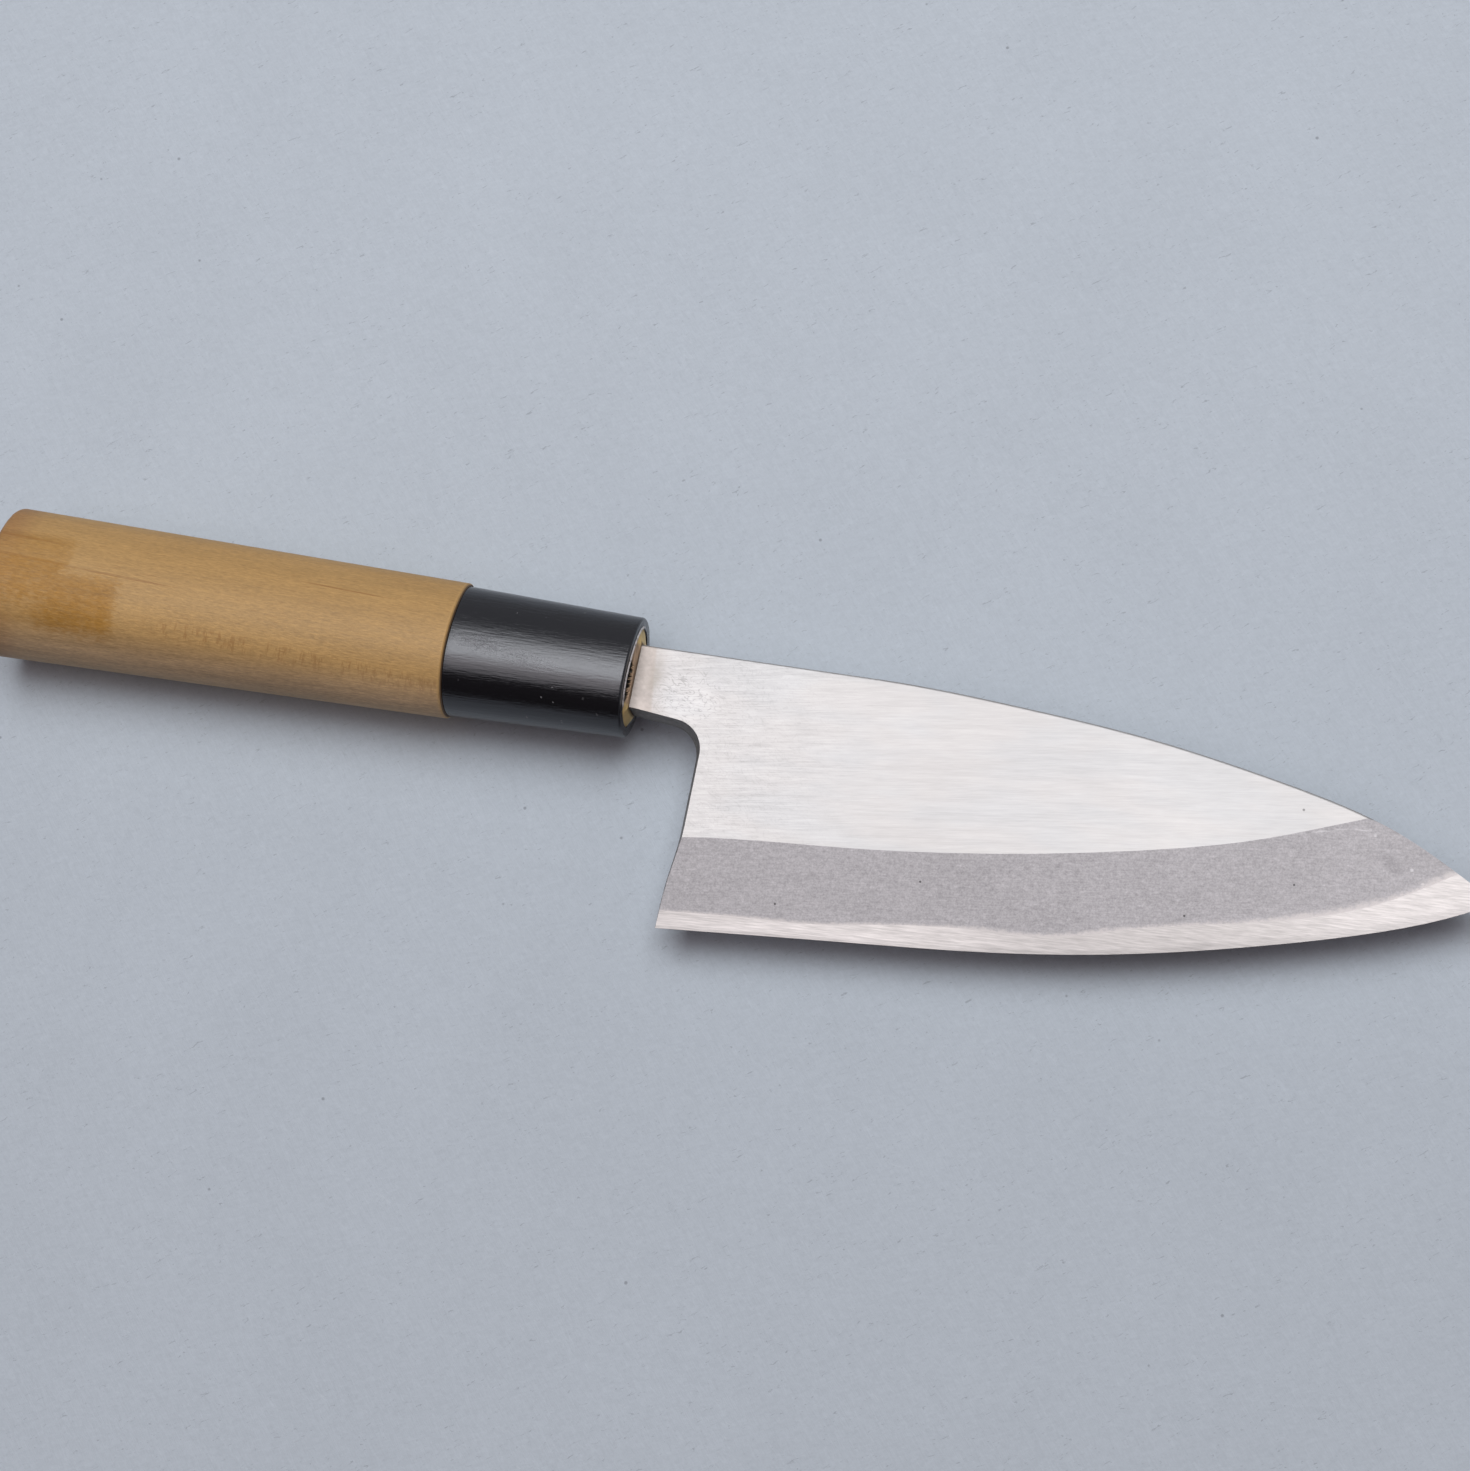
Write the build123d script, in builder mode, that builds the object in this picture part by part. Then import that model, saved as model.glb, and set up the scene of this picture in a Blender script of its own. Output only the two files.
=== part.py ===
"""A right-handed, single-bevel fish knife with a thick forged blade, a wooden handle and a black ferrule.

Frame, in millimetres: X runs along the handle towards the blade's tip, -Y is the cutting edge's side,
and +Z is the ground side, which carries the bevel. The blade's flat back lies in the plane Z = 0.
The origin is on that back, on the handle's axis, where the hard steel starts on the neck.
"""

import os
from math import atan2, degrees

from build123d import *

# Blade, as seen from its ground side
blade_length = 150.0
blade_height = 52.4
heel_place = 11.8
spine_rise = 6.4
edge_land = 0.15
spine_easing = 0.45

# Neck, between the ferrule and the blade's heel, with the slanted face of the notch below it
neck_thickness = 5.8
neck_top = 5.9
neck_bottom = -6.5
neck_fall = 1.4
neck_reveal = 1.0
choil_place = 13.0
choil_radius = 6.0
heel_bow_start = -27.0
heel_bow_middle = (12.2, -36.0)
heel_lean = 0.28

# Hard steel, forge-welded under the soft iron, and the hollow ground in its back
steel_thickness = 1.0
weld_start_share = 1.22
hollow_depth = 0.35
hollow_edge_rim = 1.8
hollow_spine_rim = 3.2

# Tang, which is driven into the handle
tang_length = 88.0
tang_end_height = 6.5
tang_end_thickness = 3.0
socket_clearance = 0.15
socket_extra = 2.0

# Handle and ferrule: a soft D section whose ground side peaks nearer the edge, and how far each body's
# half sizes shrink towards its front. The ferrule's bore and its tenon are straight, and the wall's
# thickness is the front's.
ridge_offset = 2.0
wood_length = 92.4
butt_half_height = 14.8
butt_half_thickness = 13.0
butt_end_radius = 10.5
wood_taper = 1.6
butt_rounding = 1.6
shoulder_chamfer = 0.45
ferrule_length = 34.4
ferrule_half_height = 12.6
ferrule_half_thickness = 10.6
ferrule_end_radius = 8.6
ferrule_taper = 1.0
ferrule_wall = 2.0
ferrule_rounding = 0.9
tenon_clearance = 0.08
tenon_recess = 0.3

# How far cutting bodies run past what they cut
overrun = 6.0

# Stations along the blade: the share of its length past the heel, the edge's rise above the heel and
# the bevel's width as shares of its height, and its thickness as a share of the neck's
station_shares = (
    (0.00, 0.000, 0.309, 0.966),
    (0.22, 0.057, 0.318, 0.872),
    (0.43, 0.115, 0.340, 0.767),
    (0.59, 0.190, 0.357, 0.674),
    (0.72, 0.277, 0.374, 0.588),
    (0.85, 0.383, 0.412, 0.490),
    (0.94, 0.479, 0.400, 0.430),
    (1.00, 0.568, 0.370, 0.390),
)

# The spine: shares of the blade's length past the heel, and of its height below the straight spine
spine_shares = (
    (0.22, 0.000),
    (0.40, 0.020),
    (0.56, 0.060),
    (0.73, 0.141),
    (0.82, 0.200),
    (0.90, 0.284),
    (1.00, 0.432),
)

# The weld line wanders as hand forging leaves it: shares of the blade's length and of the steel's depth
weld_shares = (
    (0.00, 1.20),
    (0.12, 1.08),
    (0.19, 0.97),
    (0.26, 1.12),
    (0.37, 1.18),
    (0.49, 0.88),
    (0.57, 1.04),
    (0.75, 0.82),
    (0.86, 0.78),
    (0.95, 1.02),
    (1.04, 1.05),
)

# The back's hollow: shares of the blade's length, of the hollow's depth and of the height between rims
hollow_shares = (
    (0.045, 0.10, 0.80),
    (0.12, 0.85, 0.96),
    (0.25, 1.00, 1.00),
    (0.43, 0.95, 1.00),
    (0.59, 0.82, 1.00),
    (0.72, 0.62, 0.98),
    (0.85, 0.34, 0.92),
    (0.93, 0.08, 0.60),
)


def run_on(near, end, place):
    """The station in line with the two given ones, at another place along the blade."""
    share = (place - near[0]) / (end[0] - near[0])
    return tuple(a + (b - a) * share for a, b in zip(near, end))


def height_at(points, place):
    """The height of an open line of points at a place along the blade."""
    for start, end in zip(points, points[1:]):
        if start[0] <= place <= end[0]:
            return run_on(start, end, place)[1]
    return points[-1][1]


# Places that follow from the sizes above
heel_drop = spine_rise - blade_height
axis_height = neck_thickness / 2
ferrule_front = -neck_reveal
ferrule_rear = ferrule_front - ferrule_length
butt_end = ferrule_rear - wood_length
blank_top = neck_thickness + overrun

# Each station as place, edge height, bevel width and thickness, with one more past each end
stations = [
    (
        heel_place + along * blade_length,
        heel_drop + rise * blade_height,
        width * blade_height,
        thickness * neck_thickness,
    )
    for along, rise, width, thickness in station_shares
]
stations.insert(0, run_on(stations[1], stations[0], ferrule_front))
stations.append(run_on(stations[-2], stations[-1], stations[-1][0] + overrun))
edge_points = [station[:2] for station in stations[:-1]]
spine_points = [
    (heel_place + along * blade_length, spine_rise - drop * blade_height)
    for along, drop in spine_shares
]
spine_line = [(ferrule_front, neck_top)] + spine_points
weld_points = [(0, weld_start_share * steel_thickness)] + [
    (heel_place + along * blade_length, depth * steel_thickness) for along, depth in weld_shares
]
root_thickness = stations[0][3]


def soft_d(place, half_height, half_thickness, end_radius):
    """The handle's section on a plane square to its axis: two round ends joined by tangent crowns.

    The back has one crown. The ground side has two, which meet at the ridge, nearer the edge.
    """
    reach = half_height - end_radius
    rise = half_thickness - end_radius
    crowns = []
    for span in (reach + ridge_offset, reach - ridge_offset, reach):
        radius = end_radius + (span**2 + rise**2) / (2 * rise)
        crowns.append((radius, degrees(atan2(radius - half_thickness, span))))
    (spine_radius, spine_turn), (edge_radius, edge_turn), (back_radius, back_turn) = crowns
    top = axis_height + half_thickness
    bottom = axis_height - half_thickness
    with BuildSketch(Plane.YZ.offset(place)) as sketch:
        with BuildLine():
            CenterArc((reach, axis_height), end_radius, -back_turn, back_turn + spine_turn)
            CenterArc((-ridge_offset, top - spine_radius), spine_radius, spine_turn, 90 - spine_turn)
            CenterArc((-ridge_offset, top - edge_radius), edge_radius, 90, 90 - edge_turn)
            CenterArc((-reach, axis_height), end_radius, 180 - edge_turn, edge_turn + back_turn)
            CenterArc((0, bottom + back_radius), back_radius, 180 + back_turn, 180 - 2 * back_turn)
        make_face()
    return sketch.sketch


def tang_section(place, top, bottom, thickness, clearance):
    """A rectangle across the tang, with the given clearance all round."""
    with BuildSketch(Plane.YZ.offset(place)) as sketch:
        with Locations(((top + bottom) / 2, axis_height)):
            Rectangle(top - bottom + 2 * clearance, thickness + 2 * clearance)
    return sketch.sketch


def tang_sections(clearance, extra):
    """The two ends of the tang or its socket, whose flat sides close in on each other."""
    end = ferrule_front - tang_length - extra
    half = tang_end_height / 2
    return [
        tang_section(ferrule_front, neck_top, neck_bottom, root_thickness, clearance),
        tang_section(end, half, -half, tang_end_thickness, clearance),
    ]


def ferrule_section(inset):
    """The ferrule's rear section, drawn in evenly all round."""
    return soft_d(
        ferrule_rear,
        ferrule_half_height - inset,
        ferrule_half_thickness - inset,
        ferrule_end_radius - inset,
    )


# The blade's outline, with the heel still square
with BuildSketch() as outline:
    with BuildLine():
        straight = Line(spine_line[0], spine_line[1])
        before, tip = spine_points[-2:]
        Spline(*spine_points, tangents=[straight % 1, (tip[0] - before[0], tip[1] - before[1])])
        Spline(*reversed(edge_points))
        Line(edge_points[0], spine_line[0])
    make_face()

# The notch below the neck: the neck's underside, the round choil and the slightly bowed heel
with BuildSketch(Plane((-overrun * heel_lean, 0, -overrun))) as notch:
    with BuildLine():
        corner = (choil_place, neck_bottom - neck_fall)
        bow_start = (choil_place, heel_bow_start)
        heel = (heel_place, heel_drop)
        clear = (ferrule_front - overrun, heel_drop - overrun)
        FilletPolyline((ferrule_front, neck_bottom), corner, bow_start, radius=choil_radius)
        Spline(bow_start, heel_bow_middle, heel, tangents=[(0, -1), (0, -1)])
        Polyline(heel, (heel_place, clear[1]), clear, (clear[0], neck_bottom), (ferrule_front, neck_bottom))
    make_face()

# The plane past the spine, from which side profiles are cut through the whole blade
side_plane = Plane.XZ.offset(-spine_rise - overrun)
side_depth = blade_height + 2 * overrun

# All that lies above the ground side's face, which thins from the neck to the tip
with BuildSketch(side_plane) as above_face:
    with BuildLine():
        face_line = [(place, thickness) for place, _, _, thickness in stations]
        Spline(*face_line)
        Polyline(face_line[-1], (face_line[-1][0], blank_top), (ferrule_front, blank_top), face_line[0])
    make_face()

# All that lies below the weld between the soft iron and the hard steel
with BuildSketch(side_plane) as below_weld:
    with BuildLine():
        Spline(*weld_points)
        Polyline(weld_points[-1], (weld_points[-1][0], -overrun), (0, -overrun), weld_points[0])
    make_face()

# The forged blank with its grind: tapered face, eased spine, bevel and notch
with BuildPart() as blank:
    extrude(outline.sketch, amount=blank_top)
    extrude(above_face.sketch, amount=side_depth, mode=Mode.SUBTRACT)
    ground_face = blank.faces().sort_by(Axis.Z)[-1]
    fillet(ground_face.edges().sort_by(Axis.Y)[-2:], spine_easing)
    for place, edge_height, width, thickness in stations:
        slope = (thickness - edge_land) / width
        low = (edge_height - overrun, edge_land - overrun * slope)
        high = (edge_height + width + overrun, thickness + overrun * slope)
        with BuildSketch(Plane.YZ.offset(place)):
            with BuildLine():
                Polyline(low, high, (high[0], blank_top), (low[0], blank_top), close=True)
            make_face()
    loft(mode=Mode.SUBTRACT)
    extrude(
        notch.sketch,
        amount=blank_top + 2 * overrun,
        dir=(heel_lean, 0, 1),
        mode=Mode.SUBTRACT,
    )

with BuildPart() as blade_cladding:
    add(blank.part)
    extrude(below_weld.sketch, amount=side_depth, mode=Mode.SUBTRACT)
    loft(tang_sections(0, 0))

with BuildPart() as hard_steel_layer:
    add(blank.part)
    extrude(below_weld.sketch, amount=side_depth, mode=Mode.INTERSECT)
    for along, depth, height in hollow_shares:
        place = heel_place + along * blade_length
        top = height_at(spine_line, place) - hollow_spine_rim
        bottom = height_at(edge_points, place) + hollow_edge_rim
        middle = (top + bottom) / 2
        reach = (top - bottom) / 2 * height
        with BuildSketch(Plane.YZ.offset(place)):
            with BuildLine():
                ThreePointArc((middle - reach, 0), (middle, depth * hollow_depth), (middle + reach, 0))
                Polyline(
                    (middle + reach, 0),
                    (middle + reach, -overrun),
                    (middle - reach, -overrun),
                    (middle - reach, 0),
                )
            make_face()
    loft(mode=Mode.SUBTRACT)

ferrule_angle = degrees(atan2(ferrule_taper, ferrule_length))
with BuildPart() as ferrule:
    extrude(ferrule_section(0), amount=ferrule_length, taper=ferrule_angle)
    fillet(ferrule.faces().sort_by(Axis.X)[-1].edges(), ferrule_rounding)
    bore = ferrule_section(ferrule_taper + ferrule_wall)
    extrude(bore, amount=ferrule_length, mode=Mode.SUBTRACT)

wood_angle = degrees(atan2(wood_taper, wood_length))
with BuildPart() as handle:
    butt = soft_d(butt_end, butt_half_height, butt_half_thickness, butt_end_radius)
    extrude(butt, amount=wood_length, taper=wood_angle)
    fillet(handle.faces().sort_by(Axis.X)[0].edges(), butt_rounding)
    chamfer(handle.faces().sort_by(Axis.X)[-1].edges(), shoulder_chamfer)
    tenon = ferrule_section(ferrule_taper + ferrule_wall + tenon_clearance)
    extrude(tenon, amount=ferrule_length - tenon_recess)
    loft(tang_sections(socket_clearance, socket_extra), mode=Mode.SUBTRACT)

blade_cladding.part.label = "blade_cladding"
hard_steel_layer.part.label = "hard_steel_layer"
ferrule.part.label = "ferrule"
handle.part.label = "handle"

os.makedirs("parts", exist_ok=True)
export_step(blade_cladding.part, "parts/blade_cladding.step")
export_step(hard_steel_layer.part, "parts/hard_steel_layer.step")
export_step(ferrule.part, "parts/ferrule.step")
export_step(handle.part, "parts/handle.step")
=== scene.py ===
"""Finishes a right-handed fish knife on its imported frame: forged steel, black ferrule and bare wooden handle.

Frame, in metres: X runs along the handle towards the blade's tip, -Y is the cutting edge's side, and +Z is
the ground side, which faces the camera. The knife lies on its flat side, on a studio floor.
"""

from math import pi, radians

import bpy
import numpy as np
from bpy.props import FloatProperty, FloatVectorProperty, PointerProperty
from mathutils import Matrix, Vector


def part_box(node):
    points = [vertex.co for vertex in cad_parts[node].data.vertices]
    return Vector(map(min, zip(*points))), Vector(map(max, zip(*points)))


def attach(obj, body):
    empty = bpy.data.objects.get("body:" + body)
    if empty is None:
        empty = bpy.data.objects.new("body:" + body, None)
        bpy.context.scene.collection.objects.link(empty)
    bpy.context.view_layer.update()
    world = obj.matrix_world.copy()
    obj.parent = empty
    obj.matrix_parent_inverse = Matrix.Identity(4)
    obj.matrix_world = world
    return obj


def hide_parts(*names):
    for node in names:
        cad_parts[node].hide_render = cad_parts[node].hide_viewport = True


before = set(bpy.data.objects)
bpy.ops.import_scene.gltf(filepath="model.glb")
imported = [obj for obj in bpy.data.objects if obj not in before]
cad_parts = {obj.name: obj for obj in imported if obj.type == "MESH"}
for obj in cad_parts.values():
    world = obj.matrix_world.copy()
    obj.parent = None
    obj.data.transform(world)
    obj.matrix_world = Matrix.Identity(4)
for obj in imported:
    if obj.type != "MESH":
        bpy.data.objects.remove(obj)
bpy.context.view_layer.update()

bl_info = {
    "name": "Single-bevel fish knife",
    "version": (1, 0, 0),
    "blender": (4, 5, 0),
    "location": "3D View > Sidebar > Knife",
    "description": "Finishes the knife's packed parts and sets the knife on a studio floor",
    "category": "Object",
}

MM = 0.001
COLUMNS = 360  # points round a section
BUTT_RINGS = 14
MOUTH_RINGS = 25
SOCKET_RINGS = 12

# Tints that the finishes lay over their main colours
WARM_STEEL = (0.39, 0.362, 0.35)
DULL_STEEL = (0.30, 0.262, 0.24)
SMUDGE = (0.215, 0.195, 0.170)
RUST = (0.09, 0.085, 0.085)
PIT = (0.12, 0.11, 0.11)
SMALL_MARK = (0.06, 0.055, 0.055)
RUBBED = (0.26, 0.245, 0.255)
BURR = (0.80, 0.78, 0.79)
SCUFF = (0.55, 0.55, 0.6)
# pale specks on the ferrule: dust, and two painted highlights
DUST_AND_GLINTS = (0.17, 0.17, 0.18)
# painted highlight along the ferrule's lip
LIP_HIGHLIGHT = (0.75, 0.72, 0.72)
SUNNY_WOOD = (0.425, 0.268, 0.104)
# paler, bluer wood on the side facing -Y: painted fill light and floor reflection
PAINTED_SIDE_LIGHT = (0.450, 0.322, 0.205)
BUTT_BROWN = (0.25, 0.12, 0.045)
JOINT_LINE = (0.055, 0.028, 0.012)
# end grain of the mouth's face, made pale as painted light
END_GRAIN_WITH_PAINTED_LIGHT = (0.82, 0.62, 0.27)
STREAKED_GRAIN = (0.58, 0.42, 0.28)
# near black for the chipped rim: charring and painted shade
CHIP_CHAR_AND_SHADE = (0.012, 0.010, 0.006)
SHRED = (0.54, 0.60, 0.65)
DOT = (0.13, 0.14, 0.16)
CLOTH = (0.01, 0.01, 0.01)

wood_low, wood_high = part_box("handle")
ferrule_low, ferrule_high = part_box("ferrule")
axis_height = (ferrule_low.z + ferrule_high.z) / 2


def length(name, description, value):
    """A size in metres that a user may change."""
    return FloatProperty(name=name, description=description, default=value, min=0, unit="LENGTH", precision=5)


def colour(name, description, value):
    """A colour that a user may change."""
    return FloatVectorProperty(
        name=name, description=description, default=value, size=3, min=0, max=1, subtype="COLOR"
    )


def share(name, description, value):
    """A plain number between 0 and 1 that a user may change."""
    return FloatProperty(name=name, description=description, default=value, min=0, max=1, subtype="FACTOR")


class KnifeSteelSettings(bpy.types.PropertyGroup):
    """Finish of the soft iron and of the hard steel."""

    face_colour: colour("Face", "Brushed face of the soft iron", (0.353, 0.346, 0.349))
    bevel_colour: colour("Bevel", "Blasted bevel of the soft iron", (0.522, 0.500, 0.513))
    spine_colour: colour("Spine", "Ground face of the spine", (0.62, 0.61, 0.60))
    forged_colour: colour("Notch", "Dark face of the neck's underside and choil", (0.205, 0.19, 0.182))
    edge_colour: colour("Edge", "Ground band of hard steel along the edge", (0.695, 0.655, 0.645))
    face_roughness: share("Face roughness", "Roughness of the brushed face", 0.55)
    bevel_roughness: share("Bevel roughness", "Roughness of the blasted bevel", 0.8)
    edge_roughness: share("Edge roughness", "Roughness of the ground edge", 0.62)
    line_length: length("Line length", "Length of a brush line", 5 * MM)
    line_width: length("Line width", "Width of a brush line", 0.24 * MM)


class KnifeFerruleSettings(bpy.types.PropertyGroup):
    """Shape and finish of the ferrule."""

    end_radius: length("End radius", "Radius of the section's round ends at the rear", 8.6 * MM)
    taper: length("Taper", "How far the half sizes shrink towards the front", 1.0 * MM)
    wall: length("Wall", "Wall thickness at the front", 2.0 * MM)
    front_rounding: length("Front rounding", "Radius of the outer edge at the front", 0.5 * MM)
    lip_rounding: length("Lip rounding", "Radius of the bead on the inner edge at the front", 0.12 * MM)
    lip_width: length("Lip width", "Width of that bead", 0.45 * MM)
    lip_height: length("Lip height", "How far that bead stands forward on the ground side", 0.25 * MM)
    rear_rounding: length("Rear rounding", "Radius of the edges at the rear", 0.12 * MM)
    gloss_colour: colour("Colour", "Colour of the ferrule", (0.008, 0.0075, 0.009))
    roughness: share("Roughness", "Roughness of the polished ferrule", 0.11)


class KnifeHandleSettings(bpy.types.PropertyGroup):
    """Shape and finish of the wooden handle."""

    end_radius: length("End radius", "Radius of the section's round ends at the butt", 10.5 * MM)
    wood_length: length("Wood length", "Length from the butt to the ferrule", 92.4 * MM)
    taper: length("Taper", "How far the half sizes shrink towards the ferrule", 1.6 * MM)
    butt_rounding: length("Butt rounding", "Radius of the eased edge of the butt", 1.6 * MM)
    shoulder_chamfer: length("Shoulder chamfer", "Chamfer at the ferrule's joint", 0.45 * MM)
    ridge_offset: length("Ridge offset", "How far the ground side's ridge lies towards the edge", 2.0 * MM)
    tenon_clearance: length("Tenon clearance", "Gap between the tenon and the ferrule", 0.08 * MM)
    chip_depth: length("Chip depth", "How far back the tenon's burnt rim is chipped", 1.6 * MM)
    mound: length("Mound", "How far the scorched wood swells out of the mouth round the tang", 0.9 * MM)
    tang_top: length("Tang top", "The tang's top above the axis, at the mouth", 5.9 * MM)
    tang_bottom: length("Tang bottom", "The tang's bottom below the axis, at the mouth", 6.5 * MM)
    tang_thickness: length("Tang thickness", "Thickness of the tang at the mouth", 5.8 * MM)
    socket_clearance: length("Socket clearance", "Gap round the tang", 0.15 * MM)
    socket_depth: length("Socket depth", "Depth of the tang's socket", 89 * MM)
    wood_colour: colour("Wood", "Pale sanded wood", (0.392, 0.240, 0.089))
    stain_colour: colour("Stain", "Orange-brown stain near the butt", (0.300, 0.146, 0.018))
    grain_colour: colour("Grain", "Dark grain lines and flecks", (0.23, 0.105, 0.028))
    burnt_colour: colour("Burnt", "Wood scorched by the hot tang", (0.10, 0.055, 0.025))


class KnifeStageSettings(bpy.types.PropertyGroup):
    """Floor, lights and camera."""

    floor_colour: colour("Floor", "Pale blue-grey paper", (0.453, 0.513, 0.577))
    room_colour: colour("Room", "Light that the room sends back", (0.090, 0.058, 0.058))
    backdrop_colour: colour("Backdrop", "What shows past the floor and in reflections", (0.37, 0.385, 0.41))
    floor_reach: length("Floor reach", "Half of the floor's side", 4.0)
    light_height: length("Light height", "Height of the soft light over the knife", 1.25)
    light_radiance: FloatProperty(
        name="Light strength", description="Radiance of the soft light at its brightest", default=5.97, min=0
    )


class Shading:
    """Short calls for the nodes of a tree: a finish's, the soft light's or the room's."""

    def __init__(self, tree):
        self.tree = tree

    def node(self, kind, **settings):
        made = self.tree.nodes.new(kind)
        for key, value in settings.items():
            setattr(made, key, value)
        return made

    def feed(self, socket, value):
        """Links a socket to another node's output, or sets it."""
        if isinstance(value, bpy.types.NodeSocket):
            self.tree.links.new(value, socket)
        elif socket.type == "RGBA":
            socket.default_value = (*value, 1)
        else:
            socket.default_value = value

    def split(self, vector):
        made = self.node("ShaderNodeSeparateXYZ")
        self.feed(made.inputs["Vector"], vector)
        return made.outputs[:]

    def math(self, operation, *values):
        made = self.node("ShaderNodeMath", operation=operation)
        for socket, value in zip(made.inputs, values):
            self.feed(socket, value)
        return made.outputs["Value"]

    def product(self, first, *others):
        for other in others:
            first = self.math("MULTIPLY", first, other)
        return first

    def most(self, first, *others):
        for other in others:
            first = self.math("MAXIMUM", first, other)
        return first

    def step(self, value, start, end, low=0.0, high=1.0):
        """Low up to start, high past end, and a smooth rise between them. End may lie before start."""
        made = self.node("ShaderNodeMapRange", interpolation_type="SMOOTHSTEP")
        for name, given in (
            ("Value", value),
            ("From Min", start),
            ("From Max", end),
            ("To Min", low),
            ("To Max", high),
        ):
            self.feed(made.inputs[name], given)
        return made.outputs["Result"]

    def mix(self, factor, first, second):
        """Second laid over first by a factor, as colours."""
        made = self.node("ShaderNodeMix", data_type="RGBA")
        self.feed(made.inputs["Factor"], factor)
        self.feed(made.inputs[6], first)
        self.feed(made.inputs[7], second)
        return made.outputs[2]

    def seen(self):
        """One for rays of the camera, of gloss and of glass, and nothing for those that light the knife."""
        rays = self.node("ShaderNodeLightPath").outputs
        return self.most(rays["Is Camera Ray"], rays["Is Glossy Ray"], rays["Is Transmission Ray"])


class Finish(Shading):
    """A material, and short calls for the patterns that the finishes share."""

    def __init__(self, name):
        self.material = bpy.data.materials.new(name)
        self.material.use_nodes = True
        super().__init__(self.material.node_tree)
        self.shader = self.tree.nodes["Principled BSDF"].inputs
        coordinates = self.node("ShaderNodeTexCoord").outputs
        self.place = coordinates["Object"]
        self.x, self.y, self.z = self.split(self.place)
        self.lean_x, self.lean_y, self.lean_z = self.split(coordinates["Normal"])

    def rise(self, value, start, end, low=0.0, high=1.0):
        """A step between places in millimetres."""
        return self.step(value, start * MM, end * MM, low, high)

    def tone(self, *parts):
        """One, plus each noise's height above one half times its weight."""
        total = 1.0
        for noise, weight in parts:
            total = self.math("MULTIPLY_ADD", self.math("SUBTRACT", noise, 0.5), weight, total)
        return total

    def between(self, value, low, high, soft):
        """One between two places in millimetres, with soft limits outside them."""
        return self.product(self.rise(value, low - soft, low), self.rise(value, high + soft, high))

    def lay(self, cover, amount, under, over):
        """Over laid on under where the cover is one, by the given amount."""
        return self.mix(self.math("MULTIPLY", cover, amount), under, over)

    def shade(self, tone, amount):
        """A colour scaled by a number."""
        made = self.node("ShaderNodeVectorMath", operation="SCALE")
        self.feed(made.inputs[0], tone)
        self.feed(made.inputs["Scale"], amount)
        return made.outputs["Vector"]

    def blend(self, factor, first, second):
        """Second laid over first by a factor, as numbers."""
        made = self.node("ShaderNodeMix", data_type="FLOAT")
        self.feed(made.inputs["Factor"], factor)
        self.feed(made.inputs[2], first)
        self.feed(made.inputs[3], second)
        return made.outputs[0]

    def cells(self, lengths, turn=0.0, centre=(0, 0, 0)):
        """Object coordinates counted in cells of the given lengths, turned about Z."""
        made = self.node("ShaderNodeMapping", vector_type="TEXTURE")
        self.feed(made.inputs["Vector"], self.place)
        made.inputs["Location"].default_value = centre
        made.inputs["Rotation"].default_value = (0, 0, turn)
        made.inputs["Scale"].default_value = lengths
        return made.outputs["Vector"]

    def noise(self, lengths, turn=0.0, detail=2.0, rough=0.5, twist=0.0):
        """Noise about one half. The lengths, in millimetres, are those of its features along X, Y and Z."""
        if not isinstance(lengths, tuple):
            lengths = (lengths, lengths, lengths)
        elif len(lengths) == 2:
            lengths = (*lengths, lengths[1])
        made = self.node("ShaderNodeTexNoise")
        self.feed(made.inputs["Vector"], self.cells([size * MM for size in lengths], radians(turn)))
        made.inputs["Scale"].default_value = 1
        made.inputs["Detail"].default_value = detail
        made.inputs["Roughness"].default_value = rough
        made.inputs["Distortion"].default_value = twist
        return made.outputs["Fac"]

    def specks(self, cell, radius, rarity, shift=0.0):
        """Round specks, one at most in each cell, in millimetres, of which the given share is left out."""
        made = self.node("ShaderNodeTexVoronoi")
        centre = (shift * MM, shift * MM, 0)
        self.feed(made.inputs["Vector"], self.cells((cell * MM, cell * MM, cell * MM), centre=centre))
        made.inputs["Scale"].default_value = 1
        red, _, _ = self.split(made.outputs["Color"])
        near = self.step(made.outputs["Distance"], radius / cell, radius / cell * 0.5)
        return self.product(near, self.math("GREATER_THAN", red, rarity))

    def oval(self, centre, radii, turn=0.0, inner=0.4):
        """One near a place in plan, in millimetres, falling to nothing at an oval's rim."""
        lengths = (radii[0] * MM, radii[1] * MM, 1)
        made = self.node("ShaderNodeVectorMath", operation="LENGTH")
        self.feed(made.inputs[0], self.cells(lengths, radians(turn), (centre[0] * MM, centre[1] * MM, 0)))
        return self.step(made.outputs["Value"], 1.0, inner)

    def spots(self, places, radius):
        """Small round spots at places in plan, all in millimetres."""
        return self.most(*(self.oval(place, (radius, radius)) for place in places))

    def stroke(self, start, end, width):
        """A line between two places in plan, in millimetres, which fades towards its ends."""
        start, end = Vector(start), Vector(end)
        along = end - start
        middle = (start + end) / 2
        turn = np.degrees(np.arctan2(along.y, along.x))
        return self.oval(middle, (along.length / 2, width / 2), turn, inner=0.0)

    def curls(self, lengths):
        """Thin curled lines, where a twisted noise with features of the given lengths crosses one half."""
        twisted = self.noise(lengths, turn=-15, detail=1, twist=2.2)
        return self.step(self.math("ABSOLUTE", self.math("SUBTRACT", twisted, 0.5)), 0.035, 0.01)

    def curve(self, value, points):
        """A smooth curve through points, all between 0 and 1."""
        made = self.node("ShaderNodeFloatCurve")
        line = made.mapping.curves[0]
        line.points[0].location = points[0]
        line.points[1].location = points[-1]
        for point in points[1:-1]:
            line.points.new(*point)
        made.mapping.update()
        self.feed(made.inputs["Value"], value)
        return made.outputs["Value"]

    def surface(self, colour, roughness):
        self.feed(self.shader["Base Color"], colour)
        self.feed(self.shader["Roughness"], roughness)

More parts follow.
